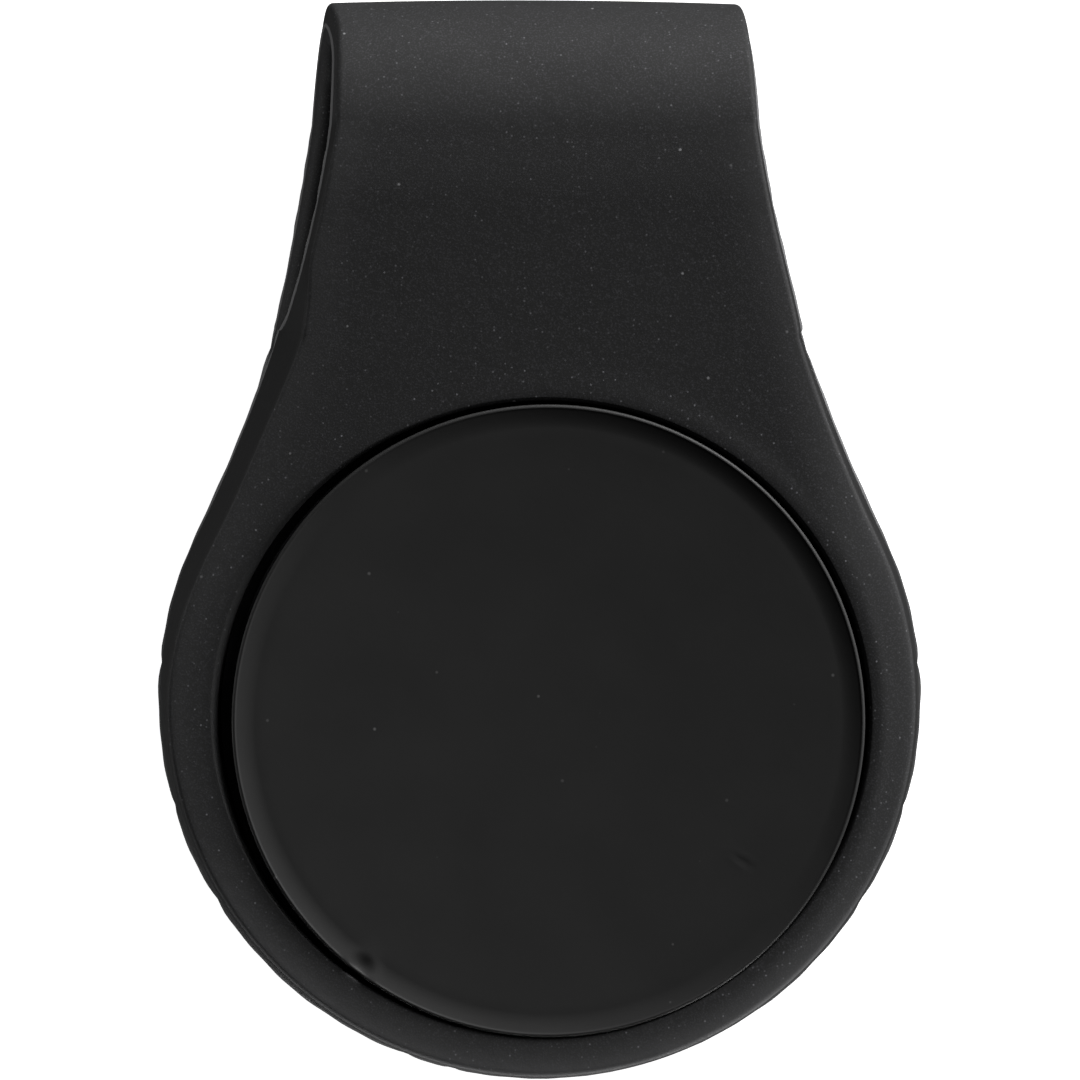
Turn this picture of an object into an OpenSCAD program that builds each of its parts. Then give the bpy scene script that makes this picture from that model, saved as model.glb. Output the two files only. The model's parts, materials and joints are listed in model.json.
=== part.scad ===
// Clip-on clicker trainer.
//
// A soft silicone strap is folded over into two leaves. The round head of the front leaf
// grips a small click module, whose button is a coated steel disc. The back leaf carries a
// magnet, so the two leaves close on a belt, a pocket or the peak of a cap.
//
// Millimetres. The clip lies on its back leaf: +Z runs up out of the button's face, +Y runs
// from the head to the fold, and the origin is on the button's axis, at the surface below.

/* [Clip outline] */
// Diameter of the round head of the front leaf
head_d = 30.4; // [30:0.1:32]
// Width that the strap narrows down to, just past the top of the fold
strap_w = 16; // [14.5:0.1:18]
// Radius of the hollow curve that joins the front strap to the head
neck_r = 56; // [48:1:60]
// The same radius on the back leaf, which is a little fuller at the neck
back_neck_r = 62; // [50:1:90]
// How much smaller the back leaf's head is, all round
back_inset = 0.3; // [0:0.05:0.6]
// Length over all, from the bottom of the head to the top of the fold
clip_l = 43; // [42:0.1:46]
// Thickness over both leaves, which is also the fold's outside diameter
clip_h = 10; // [10:0.1:10.6]
// How far the button's pocket sits below the middle of the head
pocket_drop = 0.6; // [0:0.05:0.7]

/* [Silicone walls] */
// Thickness of the strap
strap_t = 1.8; // [1.5:0.1:2.1]
// Thickness of the back leaf behind the head
leaf_t = 2.4; // [2.3:0.05:2.6]
// Gap between the two leaves when the clip is shut
leaf_gap = 0.35; // [0.2:0.05:0.4]
// Thickness of the ledge that the click module stands on
ledge_t = 0.95; // [0.8:0.05:1]
// Radius of the opening in the ledge, which lets the sound out
ledge_r = 11.2; // [10.8:0.1:11.6]
// Height of the lip above the click module
lip_h = 3.15; // [3.1:0.05:3.2]

/* [Button] */
// Diameter of the steel disc
button_d = 25; // [24:0.1:25.2]
// Thickness of the steel disc over its rim
button_t = 1; // [0.9:0.05:1]
// Height of the disc's raised rim above its flat face
rim_rise = 0.25; // [0.1:0.05:0.4]
// Width of the soft curve between the flat face and the crest of the rim
rim_w = 0.85; // [0.5:0.05:1.5]
// Height of the rim's crest above the lip
button_proud = 0.05; // [0:0.05:0.2]
// Gap between the disc and the lip, all round
button_gap = 0.35; // [0.3:0.01:0.4]
// How far the button travels
press_travel = 0.7; // [0.5:0.05:0.7]
// Thickness of the adhesive pad under the disc
pad_t = 0.15; // [0.1:0.01:0.2]
// Thickness of the plastic carrier's plate
carrier_t = 1.1; // [0.9:0.05:1.1]

/* [Click module] */
// Outside diameter of the click module
module_d = 26.6; // [26.4:0.1:26.8]
// Wall thickness of the module
module_wall = 0.8; // [0.7:0.05:0.9]
// Floor thickness of the module
floor_t = 0.7; // [0.65:0.05:0.75]
// Thickness of the ring that closes the module
ring_t = 1; // [0.9:0.05:1.1]
// Diameter of the steel click dome
dome_d = 12; // [11:0.1:12]
// Rise of the click dome at its middle
dome_rise = 0.7; // [0.6:0.05:0.7]
// Thickness of the click dome
dome_t = 0.2; // [0.15:0.01:0.25]
// Number of snap hooks, and of screws between them
hooks = 3; // [2:1:3]
// Wire diameter of the return spring
wire_d = 0.45; // [0.35:0.05:0.5]
// Turns of the return spring
spring_turns = 4; // [3:1:4]

/* [Magnets] */
// Diameter of both magnets
magnet_d = 10; // [8:0.5:10]
// Thickness of both magnets
magnet_t = 1; // [0.8:0.1:1]
// Diameter of the steel keeper plate in the back leaf
keeper_d = 18; // [16:0.5:20]
// Diameter of the round cover on the back leaf
cover_d = 22; // [20.5:0.5:23]
// Thickness of that cover
cover_t = 0.4; // [0.3:0.05:0.4]

/* [Hidden] */
$fn = 96;

// A cutter reaches this far past the surface that it cuts
over = 1;
// A post, a hook or a boss is rooted this deep in the plate that it grows from
root = 0.3;
// Clearance between two pieces of one assembly that are pushed together
seat_gap = 0.05;
// Clearance between two pieces that slide or snap against each other
slide_gap = 0.05;
// Clearance that is left where a moving piece lands
landing_gap = 0.02;

// Places along Y
head_y = pocket_drop;
fold_y = head_y + clip_l - head_d / 2 - clip_h / 2;

// Leaves and the loop behind the neck, which is a slot with two round ends
mid_z = clip_h / 2;
loop_r = clip_h / 2 - strap_t;
head_z = leaf_t + leaf_gap;
pocket_r = button_d / 2 + button_gap;
cavity_r = module_d / 2 + seat_gap;
neck_wall = 1.9;
loop_y = cavity_r + neck_wall + loop_r;
lip_flare = 0.4;

// Heights of the click module, from the ledge up
module_z = head_z + ledge_t;
module_top = clip_h - lip_h;
ring_z = module_top - ring_t;
floor_z = module_z + floor_t;
keeper_t = 0.25;
rear_keeper_t = 0.3;
front_cover_t = 0.3;
front_cover_d = magnet_d + 2;
front_magnet_z = module_z + front_cover_t;
front_keeper_z = front_magnet_z + magnet_t;
web_t = 0.35;
dome_z = front_keeper_z + keeper_t + web_t;
retainer_lip = 0.8;
retainer_t = 0.3;
retainer_d = dome_d + 2;
retainer_z = dome_z + 0.6 * dome_rise;
pedestal_d = retainer_d + 1.2;

// Heights of the button, from its rim down
disc_z = clip_h + button_proud - button_t;
pad_z = disc_z - pad_t;
plate_z = pad_z - carrier_t;
pad_d = button_d - 3;
plate_d = button_d - 0.4;
striker_r = 1;
striker_seat = 0.55;
boss_r = 2.2;
striker_z = dome_z + dome_rise + dome_t + landing_gap;
stop_z = plate_z - press_travel;

// Snap hooks and the windows that they run in
hook_in = 9.2;
hook_out = 10;
barb_out = 10.8;
barb_h = 0.6;
barb_top = ring_z - slide_gap;
hook_angle = 20;
window_angle = 24;
window_r = hook_out + 0.2;
ring_in = 9;

// Screws, half-way between the hooks
screw_ring_r = 11.3;
screw_r = 0.5;
screw_l = 2.4;
screw_head_r = 1;
screw_head_h = 0.4;
post_r = 1.15;
sound_ring_r = 10.3;
sound_r = 0.55;
sound_step = 20;

// Damper ring, let into the module's ring
damper_in = 10.8;
damper_out = 12.2;
damper_groove = 0.15;

// Return spring
spring_r = 8.5;
spring_steps = 20;
spring_sides = 8;
dead_turn = 0.75;

silicone = [0.10, 0.10, 0.11];
coating = [0.07, 0.07, 0.07];
black_plastic = [0.16, 0.16, 0.17];
ring_plastic = [0.24, 0.24, 0.26];
steel = [0.74, 0.75, 0.77];
spring_steel = [0.62, 0.63, 0.66];
nickel = [0.82, 0.80, 0.76];
nylon = [0.90, 0.89, 0.84];
foam = [0.30, 0.30, 0.32];
tape = [0.86, 0.84, 0.78];

// ---- Outlines ----

// Distance of a neck curve's centre from the axis, and its height above the head's centre
function neck_x(bend_r) = strap_w / 2 + bend_r;
function neck_y(round_r, bend_r) = sqrt(pow(round_r + bend_r, 2) - pow(neck_x(bend_r), 2));

// Round head and strap in one outline: each neck curve touches the head and ends upright
// at the strap's full narrowness
module clip_outline(round_r, bend_r, end_y) {
  translate([0, head_y]) {
    circle(r = round_r, $fn = 180);
    difference() {
      translate([-round_r, 0])
        square([2 * round_r, end_y - head_y]);
      for (side = [-1, 1])
        translate([side * neck_x(bend_r), neck_y(round_r, bend_r)])
          circle(r = bend_r, $fn = 360);
      for (side = [-1, 1])
        waist_cut(side, round_r, bend_r);
    }
  }
}

// Clears what lies outside the head's circle below the point where the neck curve touches it
module waist_cut(side, round_r, bend_r) {
  touch = round_r / (round_r + bend_r);
  touch_x = neck_x(bend_r) * touch;
  touch_y = neck_y(round_r, bend_r) * touch;
  scale([side, 1])
    translate([touch_x, -over])
      square([round_r, touch_y + over]);
}

module ring(inside_r, outside_r, height) {
  difference() {
    cylinder(r = outside_r, h = height);
    translate([0, 0, -over])
      cylinder(r = inside_r, h = height + 2 * over);
  }
}

// Part of a ring, centred on the X axis
module ring_sector(inside_r, outside_r, height, angle) {
  rotate([0, 0, -angle / 2])
    rotate_extrude(angle = angle)
      translate([inside_r, 0])
        square([outside_r - inside_r, height]);
}

module around(count, start = 0) {
  for (turn = [0 : count - 1])
    rotate([0, 0, start + turn * 360 / count])
      children();
}

// The open loop behind the neck, right through from side to side
module loop_cut() {
  rotate([90, 0, 90])
    translate([0, 0, -head_d])
      linear_extrude(2 * head_d) {
        translate([loop_y, mid_z])
          circle(r = loop_r);
        translate([loop_y, mid_z - loop_r])
          square([fold_y - loop_y + over, 2 * loop_r]);
      }
}

// ---- Silicone strap: back leaf, fold and front leaf ----

module back_leaf() {
  color(silicone)
    difference() {
      linear_extrude(leaf_t)
        clip_outline(head_d / 2 - back_inset, back_neck_r, fold_y);
      loop_cut();
      translate([0, 0, -over])
        cylinder(d = cover_d + 2 * seat_gap, h = cover_t + over);
      cylinder(d = keeper_d + 2 * seat_gap, h = cover_t + rear_keeper_t);
      cylinder(d = magnet_d + 2 * seat_gap, h = cover_t + rear_keeper_t + magnet_t);
    }
}

// One half of the fold's tube, cut to the outline of the leaf that it joins
module half_fold(low_z, round_r, bend_r) {
  intersection() {
    translate([0, 0, low_z])
      linear_extrude(clip_h / 2)
        clip_outline(round_r, bend_r, fold_y + clip_h / 2);
    translate([-strap_w, fold_y, 0])
      cube([2 * strap_w, clip_h, clip_h]);
    translate([-strap_w, fold_y, mid_z])
      rotate([0, 90, 0])
        difference() {
          cylinder(d = clip_h, h = 2 * strap_w);
          translate([0, 0, -over])
            cylinder(r = loop_r, h = 2 * strap_w + 2 * over);
        }
  }
}

module strap_fold() {
  color(silicone) {
    half_fold(0, head_d / 2 - back_inset, back_neck_r);
    half_fold(mid_z, head_d / 2, neck_r);
  }
}

module front_clip() {
  color(silicone)
    difference() {
      translate([0, 0, head_z])
        linear_extrude(clip_h - head_z)
          clip_outline(head_d / 2, neck_r, fold_y);
      loop_cut();
      cylinder(r = ledge_r, h = clip_h);
      translate([0, 0, module_z])
        cylinder(r = cavity_r, h = module_top - module_z);
      translate([0, 0, module_z])
        cylinder(r = pocket_r, h = clip_h);
      translate([0, 0, clip_h - lip_flare])
        cylinder(r1 = pocket_r, r2 = pocket_r + lip_flare, h = lip_flare + landing_gap);
    }
}

// ---- Back leaf's magnet ----

module rear_cover() {
  color(black_plastic)
    cylinder(d = cover_d, h = cover_t);
}

module rear_keeper_plate() {
  color(steel)
    translate([0, 0, cover_t])
      cylinder(d = keeper_d, h = rear_keeper_t);
}

module rear_magnet() {
  color(nickel)
    translate([0, 0, cover_t + rear_keeper_t])
      cylinder(d = magnet_d, h = magnet_t);
}

// ---- Click module ----

// Cup with a raised seat for the dome, a magnet pocket under it, and sound holes
module click_base() {
  color(black_plastic)
    difference() {
      union() {
        translate([0, 0, module_z])
          cylinder(d = module_d, h = floor_t);
        translate([0, 0, module_z])
          ring(module_d / 2 - module_wall, module_d / 2, ring_z - module_z);
        translate([0, 0, module_z])
          cylinder(d = pedestal_d, h = retainer_z + retainer_t - module_z);
      }
      translate([0, 0, dome_z])
        cylinder(d = dome_d + 2 * seat_gap, h = clip_h);
      translate([0, 0, retainer_z])
        cylinder(d = retainer_d + 2 * seat_gap, h = clip_h);
      cylinder(d = front_cover_d + 2 * seat_gap, h = front_magnet_z);
      cylinder(d = magnet_d + 2 * seat_gap, h = front_keeper_z + keeper_t);
      around(hooks, 180 / hooks)
        translate([screw_ring_r, 0, 0])
          screw_hole();
      around(hooks)
        for (step = [-1 : 1])
          rotate([0, 0, step * sound_step])
            translate([sound_ring_r, 0, 0])
              cylinder(r = sound_r, h = clip_h, $fn = 24);
    }
}

module screw_hole() {
  cylinder(r = screw_r + 2 * seat_gap, h = clip_h, $fn = 32);
  cylinder(r = screw_head_r + 2 * seat_gap, h = module_z + screw_head_h + seat_gap, $fn = 32);
}

// Closes the module, guides the button's hooks and takes the screws
module click_ring() {
  color(ring_plastic)
    difference() {
      union() {
        translate([0, 0, ring_z])
          ring(ring_in, module_d / 2, ring_t);
        around(hooks, 180 / hooks)
          translate([screw_ring_r, 0, floor_z])
            cylinder(r = post_r, h = ring_z - floor_z + root, $fn = 48);
      }
      around(hooks)
        translate([0, 0, ring_z - over])
          ring_sector(ring_in - over, window_r, ring_t + 2 * over, window_angle);
      around(hooks, 180 / hooks)
        translate([screw_ring_r, 0, floor_z - over])
          cylinder(r = screw_r + landing_gap, h = screw_l + over, $fn = 32);
      translate([0, 0, module_top - damper_groove])
        ring(damper_in, damper_out, damper_groove + over);
    }
}

module case_screws() {
  color(steel)
    around(hooks, 180 / hooks)
      translate([screw_ring_r, 0, module_z + seat_gap])
        screw();
}

module screw() {
  slot_w = 0.25;
  slot_l = 1.2;
  difference() {
    union() {
      cylinder(r = screw_head_r, h = screw_head_h, $fn = 48);
      cylinder(r = screw_r, h = screw_l, $fn = 32);
    }
    for (turn = [0, 90])
      rotate([0, 0, turn])
        translate([-slot_l / 2, -slot_w / 2, -over])
          cube([slot_l, slot_w, screw_head_h / 2 + over]);
  }
}

// Shallow steel cap: the rise of the middle sets the radius of its curve
module click_dome() {
  cap_r = (pow(dome_d / 2, 2) + pow(dome_rise, 2)) / (2 * dome_rise);
  color(spring_steel)
    translate([0, 0, dome_z])
      rotate_extrude()
        intersection() {
          translate([0, dome_rise - cap_r])
            difference() {
              circle(r = cap_r + dome_t, $fn = 720);
              circle(r = cap_r, $fn = 720);
            }
          square([dome_d / 2, 2 * dome_rise]);
        }
}

module dome_retainer() {
  color(nylon)
    translate([0, 0, retainer_z])
      ring(dome_d / 2 - retainer_lip, retainer_d / 2, retainer_t);
}

module front_magnet_cover() {
  color(black_plastic)
    translate([0, 0, module_z])
      cylinder(d = front_cover_d, h = front_cover_t);
}

module front_magnet() {
  color(nickel)
    translate([0, 0, front_magnet_z])
      cylinder(d = magnet_d, h = magnet_t);
}

module front_keeper_plate() {
  color(steel)
    translate([0, 0, front_keeper_z])
      cylinder(d = magnet_d, h = keeper_t);
}

module damper_ring() {
  damper_z = module_top - damper_groove;
  color(foam)
    translate([0, 0, damper_z])
      ring(damper_in + seat_gap, damper_out - seat_gap, stop_z - landing_gap - damper_z);
}

// ---- Return spring ----

// Height of the wire's centre at a turn: flat end turns and an even rise between them
function spring_rise(turn, low, high) =
  low + (high - low) * min(1, max(0, (turn - dead_turn) / (spring_turns - 2 * dead_turn)));

function spring_point(turn, side, low, high) =
  let (
    wire_angle = side * 360 / spring_sides,
    reach = spring_r + wire_d / 2 * cos(wire_angle)
  )
  [
    reach * cos(360 * turn),
    reach * sin(360 * turn),
    spring_rise(turn, low, high) + wire_d / 2 * sin(wire_angle)
  ];

// A wire of even thickness, swept ring by ring round the coil
module return_spring() {
  low = floor_z + wire_d / 2 + landing_gap;
  high = plate_z - wire_d / 2 - landing_gap;
  last = spring_turns * spring_steps;
  points = [
    for (step = [0 : last])
      for (side = [0 : spring_sides - 1])
        spring_point(step / spring_steps, side, low, high)
  ];
  skin = [
    for (step = [0 : last - 1])
      for (side = [0 : spring_sides - 1])
        let (next = (side + 1) % spring_sides, here = step * spring_sides)
        [here + side, here + spring_sides + side, here + spring_sides + next, here + next]
  ];
  first_cap = [for (side = [0 : spring_sides - 1]) side];
  last_cap = [for (side = [spring_sides - 1 : -1 : 0]) last * spring_sides + side];
  color(spring_steel)
    polyhedron(points = points, faces = concat(skin, [first_cap], [last_cap]));
}

// ---- Button ----

// Coated steel disc, whose flat face curves up into a thin raised rim
module button_disc() {
  disc_r = button_d / 2;
  crest_w = 0.15;
  curve_x = disc_r - crest_w - rim_w;
  curve_r = (pow(rim_w, 2) + pow(rim_rise, 2)) / (2 * rim_rise);
  color(coating)
    translate([0, 0, disc_z])
      rotate_extrude()
        difference() {
          square([disc_r, button_t]);
          translate([0, button_t - rim_rise])
            square([curve_x, 2 * rim_rise]);
          translate([curve_x, button_t - rim_rise + curve_r])
            circle(r = curve_r, $fn = 256);
        }
}

module adhesive_pad() {
  color(tape)
    translate([0, 0, pad_z])
      cylinder(d = pad_d, h = pad_t);
}

// Plate under the disc, with snap hooks that hold the button in and a boss for the striker
module button_carrier() {
  hook_z = barb_top - barb_h;
  color(black_plastic)
    difference() {
      union() {
        translate([0, 0, plate_z])
          cylinder(d = plate_d, h = carrier_t);
        translate([0, 0, striker_z + striker_r])
          cylinder(r = boss_r, h = plate_z - striker_z - striker_r + root, $fn = 64);
        around(hooks) {
          translate([0, 0, hook_z])
            ring_sector(hook_in, hook_out, plate_z - hook_z + root, hook_angle);
          translate([0, 0, hook_z])
            ring_sector(hook_in, barb_out, barb_h, hook_angle);
        }
      }
      translate([0, 0, striker_z])
        cylinder(r = striker_r + seat_gap, h = plate_z + striker_seat - striker_z, $fn = 48);
    }
}

// Round-ended nylon pin that pushes the middle of the dome
module striker() {
  color(nylon) {
    translate([0, 0, striker_z + striker_r / 2])
      cylinder(r = striker_r, h = plate_z + striker_seat - striker_z - striker_r / 2, $fn = 48);
    translate([0, 0, striker_z])
      striker_tip();
  }
}

module striker_tip() {
  rotate_extrude($fn = 48)
    intersection() {
      translate([0, striker_r])
        circle(r = striker_r, $fn = 96);
      square([striker_r, striker_r]);
    }
}

back_leaf();
rear_magnet();
rear_keeper_plate();
rear_cover();
strap_fold();
front_clip();
click_base();
click_ring();
click_dome();
dome_retainer();
front_magnet();
front_keeper_plate();
front_magnet_cover();
case_screws();
damper_ring();
return_spring();
button_disc();
adhesive_pad();
button_carrier();
striker();
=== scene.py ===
"""Looks of the clip-on clicker trainer: soft silicone strap, coated steel button and the pieces inside.

Every piece is built in millimetres in the CAD frame and scaled to metres at the end. +Z runs up out of
the button, +Y runs from the head to the fold, and the origin is on the button's axis, at the surface
below.
"""

import json
import math

import bmesh
import bpy
import numpy as np
from mathutils import Matrix, Vector


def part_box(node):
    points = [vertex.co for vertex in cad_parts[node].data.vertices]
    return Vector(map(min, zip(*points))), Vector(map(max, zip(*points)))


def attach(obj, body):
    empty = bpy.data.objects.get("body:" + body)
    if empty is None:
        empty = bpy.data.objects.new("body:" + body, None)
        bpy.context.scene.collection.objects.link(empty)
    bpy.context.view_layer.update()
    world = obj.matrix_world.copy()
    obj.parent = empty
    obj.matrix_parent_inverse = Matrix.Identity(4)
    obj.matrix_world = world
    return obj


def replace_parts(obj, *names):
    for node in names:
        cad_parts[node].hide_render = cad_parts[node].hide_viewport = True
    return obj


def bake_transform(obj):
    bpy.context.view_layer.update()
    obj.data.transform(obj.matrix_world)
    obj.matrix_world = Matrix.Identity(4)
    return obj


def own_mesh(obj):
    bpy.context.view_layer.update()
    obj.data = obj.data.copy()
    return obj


MM = 0.001
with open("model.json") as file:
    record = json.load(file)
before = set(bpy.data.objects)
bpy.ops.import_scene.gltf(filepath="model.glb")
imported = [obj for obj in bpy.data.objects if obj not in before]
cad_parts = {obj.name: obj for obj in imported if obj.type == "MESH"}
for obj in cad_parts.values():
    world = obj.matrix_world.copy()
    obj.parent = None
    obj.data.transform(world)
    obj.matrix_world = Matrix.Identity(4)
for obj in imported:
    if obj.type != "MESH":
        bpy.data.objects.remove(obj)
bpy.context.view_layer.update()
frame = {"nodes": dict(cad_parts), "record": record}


def box_mm(node):
    """Lowest and highest corner of a CAD node, in millimetres."""
    low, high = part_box(node)
    return np.array(low) / MM, np.array(high) / MM


# ---- Sizes that the frame gives, in millimetres ----

front_low, front_high = box_mm("front_clip")
back_high = box_mm("back_leaf")[1]
fold_high = box_mm("strap_fold")[1]
disc_low, disc_high = box_mm("button_disc")
cover_high = box_mm("rear_cover")[1]
base_low, base_high = box_mm("click_base")

HEAD_R = front_high[0]
BACK_HEAD_R = back_high[0]
HEAD_Y = front_low[1] + HEAD_R
FOLD_Y = front_high[1]
TOP_Z = front_high[2]
HEAD_Z = front_low[2]
LEAF_T = back_high[2]
FOLD_R = fold_high[1] - FOLD_Y
MID_Z = TOP_Z / 2
DISC_R = disc_high[0]
DISC_TOP = disc_high[2]
DISC_T = disc_high[2] - disc_low[2]
COVER_R = cover_high[0]
COVER_T = cover_high[2]
MODULE_R = base_high[0]
MODULE_Z = base_low[2]

# ---- Sizes that repeat the design, in millimetres ----

# Half the width that the strap narrows down to, and the hollow curves that join it to both heads
STRAP_HALF = 8.0
NECK_R = 56.0
BACK_NECK_R = 62.0
STRAP_T = 1.8
# The ledge under the click module, the module's top and the gap round what is seated in the silicone
LEDGE_R = 11.2
MODULE_TOP = 6.85
SEAT_GAP = 0.05
# The loop behind the neck, which ends at the head's wall
NECK_WALL = 1.9
LOOP_R = FOLD_R - STRAP_T
LOOP_Y = MODULE_R + SEAT_GAP + NECK_WALL + LOOP_R
WALL_Y = LOOP_Y - LOOP_R

# ---- Sizes of the soft detail, in millimetres. Directions are in radians from +X towards +Y ----

# Rounded edges, each at most this share of its wall, and the slope of the walls
EDGE_R = 0.26
BACK_EDGE_R = 0.55
EDGE_SHARE = 0.65
DRAFT = 0.07
# Mould flash along the parting line, with a few nicks where it is torn off
FLASH = 0.1
FLASH_T = 0.05
FLASH_NICKS = 6
# The pocket's rounded lip, its gap to the disc, and the break at the ledge's opening
LIP_R = 0.16
LIP_DEPTH = 0.3
LIP_GAP = 0.17
LEDGE_BREAK = 0.25
# The rounded mouth of the recess for the cover
RECESS_BREAK = 0.2
RECESS_ROUND = 0.06
# The soft lip is pulled to the right, out of round, and outwards on the left. Its reach outwards and its
# rise above the module are where that fades.
LIP_X = 0.12
LIP_OVAL = 0.12
LIP_SOFT = 0.15
LIP_PULL = 0.12
LIP_REACH = 1.6
LIP_RISE = 1.5
# Where the disc sits in the pocket
DISC_X = 0.26
DISC_Y = -0.1
# The bead beside the lip, and its share on the side away from the crown
BEAD_H = 0.035
BEAD_W = 0.45
BEAD_AT = 0.5
BEAD_LEAST = 0.15
# The crown is how far the face falls away to the outline. It is fullest in one direction.
CROWN = 0.42
CROWN_W = 2.0
CROWN_AT = math.radians(20)
CROWN_SPREAD = 0.7
CROWN_LEAST = 0.05
CROWN_NECK = 0.25
CROWN_NECK_LEAST = 0.3
# Where the head's crown starts to give way to the neck's
HEAD_FADE_Y = 6
# How steeply the crown and the wear grow towards the outline
EDGE_POWER = 1.5
# How far the left of the head sinks
LEFT_SINK = 0.14
SINK_AT = math.radians(170)
# How far the strap eases down towards the fold, and where that starts before FOLD_Y and ends beyond it
FOLD_EASE = 0.35
FOLD_EASE_FROM = 3
FOLD_EASE_TO = 2.6
# The fold's crown across the strap, and half its width at the far end
FOLD_CROWN = 0.14
FOLD_HALF = 8.4
# The soft strap's drift to the left towards the fold, and where it starts
LEAF_DRIFT = 0.55
DRIFT_Y = 8
# The left side is drawn in on the front strap, and its wall leans out. The pairs are where each sets in
# or fades, in X, in Y and in distance beyond the pocket.
LEFT_X = (-1, -6)
LEFT_INSET = 0.25
INSET_Y = (10, 16)
NECK_DRAFT = 0.4
NECK_DRAFT_IN_Y = (0, 8)
NECK_DRAFT_OUT_Y = (15.5, 18.5)
NECK_DRAFT_OUT_R = (0.5, 1.7)
NECK_DRAFT_TOP = 0.1

# ---- Wear and painted light, as shares of the palest or darkest tone. The places are in millimetres ----

# Painted sheen along the front face's edge, most of all at the foot of the head, and painted light on the
# left
SHEEN_W = 2.2
SHEEN_EDGE = 0.13
SHEEN_FOOT = 0.85
FOOT_Y = (-3, -13)
LEFT_PAINTED_LIGHT = 0.08
LEFT_PAINTED_LIGHT_X = (-7, -12)
# How dark the front leaf's wall is painted: painted shade
WALL_PAINTED_SHADE = 0.85
# Flash with scuff marks and a painted highlight: its share on the head, and the stretch over which it turns
# paler along the strap
FLASH_SCUFF_AND_HIGHLIGHT = 0.15
FLASH_SCUFF_AND_HIGHLIGHT_Y = (5, 11)

# The lip closes in on the disc a little more than its moulded size
POCKET_R = DISC_R + LIP_GAP

# ---- Mesh fineness ----

HEAD_STEPS = 96
NECK_STEPS = 44
WALL_STEPS = 12
ARC_STEPS = 7
LIP_STEPS = 10
INNER_ROWS = 12
PATCH_ROWS = 5
FOLD_STEPS = 60
# Rows of an edge that make its flash, and rows at its end that count as the face
FLASH_FIRST = ARC_STEPS + 2
FLASH_END = ARC_STEPS + 5
FACE_ROWS = 4
# Points closer than this become one
WELD = 1e-4


def smooth(low, high, value):
    """Smooth step from 0 at low to 1 at high."""
    t = np.clip((value - low) / (high - low), 0, 1)
    return t * t * (3 - 2 * t)


def lerp(a, b, t):
    """From a at t = 0 to b at t = 1."""
    return a + (b - a) * t


class Skin:
    """Collects grids of points, tagged by the piece they belong to, and welds them where they meet."""

    def __init__(self):
        self.points = []
        self.faces = []
        self.tags = []
        self.wear_and_painted_light = []
        self.count = 0

    def grid(self, grid, tag=0, wear_and_painted_light=None):
        """Adds quads between neighbouring points of grid[row][column]. The mark is 1 where the skin is pale,
        for scuffed flash, painted highlight and painted sheen, and below 0 where painted shade darkens it.
        """
        grid = np.asarray(grid, float)
        self.wear_and_painted_light.append(np.zeros(grid.shape[:2]) if wear_and_painted_light is None else wear_and_painted_light)
        rows, columns = grid.shape[:2]
        index = self.count + np.arange(rows * columns).reshape(rows, columns)
        corners = (index[:-1, :-1], index[1:, :-1], index[1:, 1:], index[:-1, 1:])
        quads = np.stack(corners, axis=-1).reshape(-1, 4)
        self.points.append(grid.reshape(-1, 3))
        self.faces.append(quads)
        self.tags.append(np.full(len(quads), tag))
        self.count += rows * columns

    def welded(self):
        """One bmesh in millimetres, with its faces turned outwards and tagged by material_index."""
        points = np.concatenate(self.points)
        keys = np.round(points / WELD).astype(np.int64)
        _, first, inverse = np.unique(keys, axis=0, return_index=True, return_inverse=True)
        inverse = inverse.reshape(-1)
        mesh = bmesh.new()
        # Per vertex: 1 for pale scuffed flash, painted highlight and painted sheen, below 0 for painted
        # shade
        layer = mesh.verts.layers.float.new("wear_and_painted_light")
        verts = [mesh.verts.new(points[i]) for i in first]
        wear_and_painted_light = np.concatenate([part.reshape(-1) for part in self.wear_and_painted_light])
        for vert, i in zip(verts, first):
            vert[layer] = wear_and_painted_light[i]
        for quad, tag in zip(np.concatenate(self.faces), np.concatenate(self.tags)):
            corners = list(dict.fromkeys(inverse[i] for i in quad))
            if len(corners) < 3:
                continue
            found = mesh.faces.get([verts[i] for i in corners])
            if found is None:
                face = mesh.faces.new([verts[i] for i in corners])
                face.material_index = int(tag)
                face.smooth = True
        bmesh.ops.recalc_face_normals(mesh, faces=mesh.faces)
        return mesh


def new_piece(name, mesh, material):
    """Turns a bmesh in millimetres into an object in metres."""
    mesh.transform(Matrix.Scale(MM, 4))
    data = bpy.data.meshes.new(name)
    mesh.to_mesh(data)
    mesh.free()
    piece = bpy.data.objects.new(name, data)
    bpy.context.scene.collection.objects.link(piece)
    data.materials.append(material)
    return piece


# ---- Outline of a leaf ----


def outline_depth(x, y, head_r, bend_r):
    """How far a point lies inside the leaf's outline, a circle that runs into hollow neck curves."""
    x = np.abs(x)
    bend_x = STRAP_HALF + bend_r
    bend_y = math.sqrt((head_r + bend_r) ** 2 - bend_x**2)
    from_head = head_r - np.hypot(x, y - HEAD_Y)
    from_bend = np.hypot(x - bend_x, y - HEAD_Y - bend_y) - bend_r
    above = (y - HEAD_Y) * bend_x > x * bend_y
    return np.where(above, from_bend, from_head)


def half_width(y, head_r, bend_r):
    """Half the leaf's width at a height on the neck."""
    bend_y = math.sqrt((head_r + bend_r) ** 2 - (STRAP_HALF + bend_r) ** 2)
    rise = HEAD_Y + bend_y - y
    return STRAP_HALF + bend_r - np.sqrt(bend_r**2 - rise**2)


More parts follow.
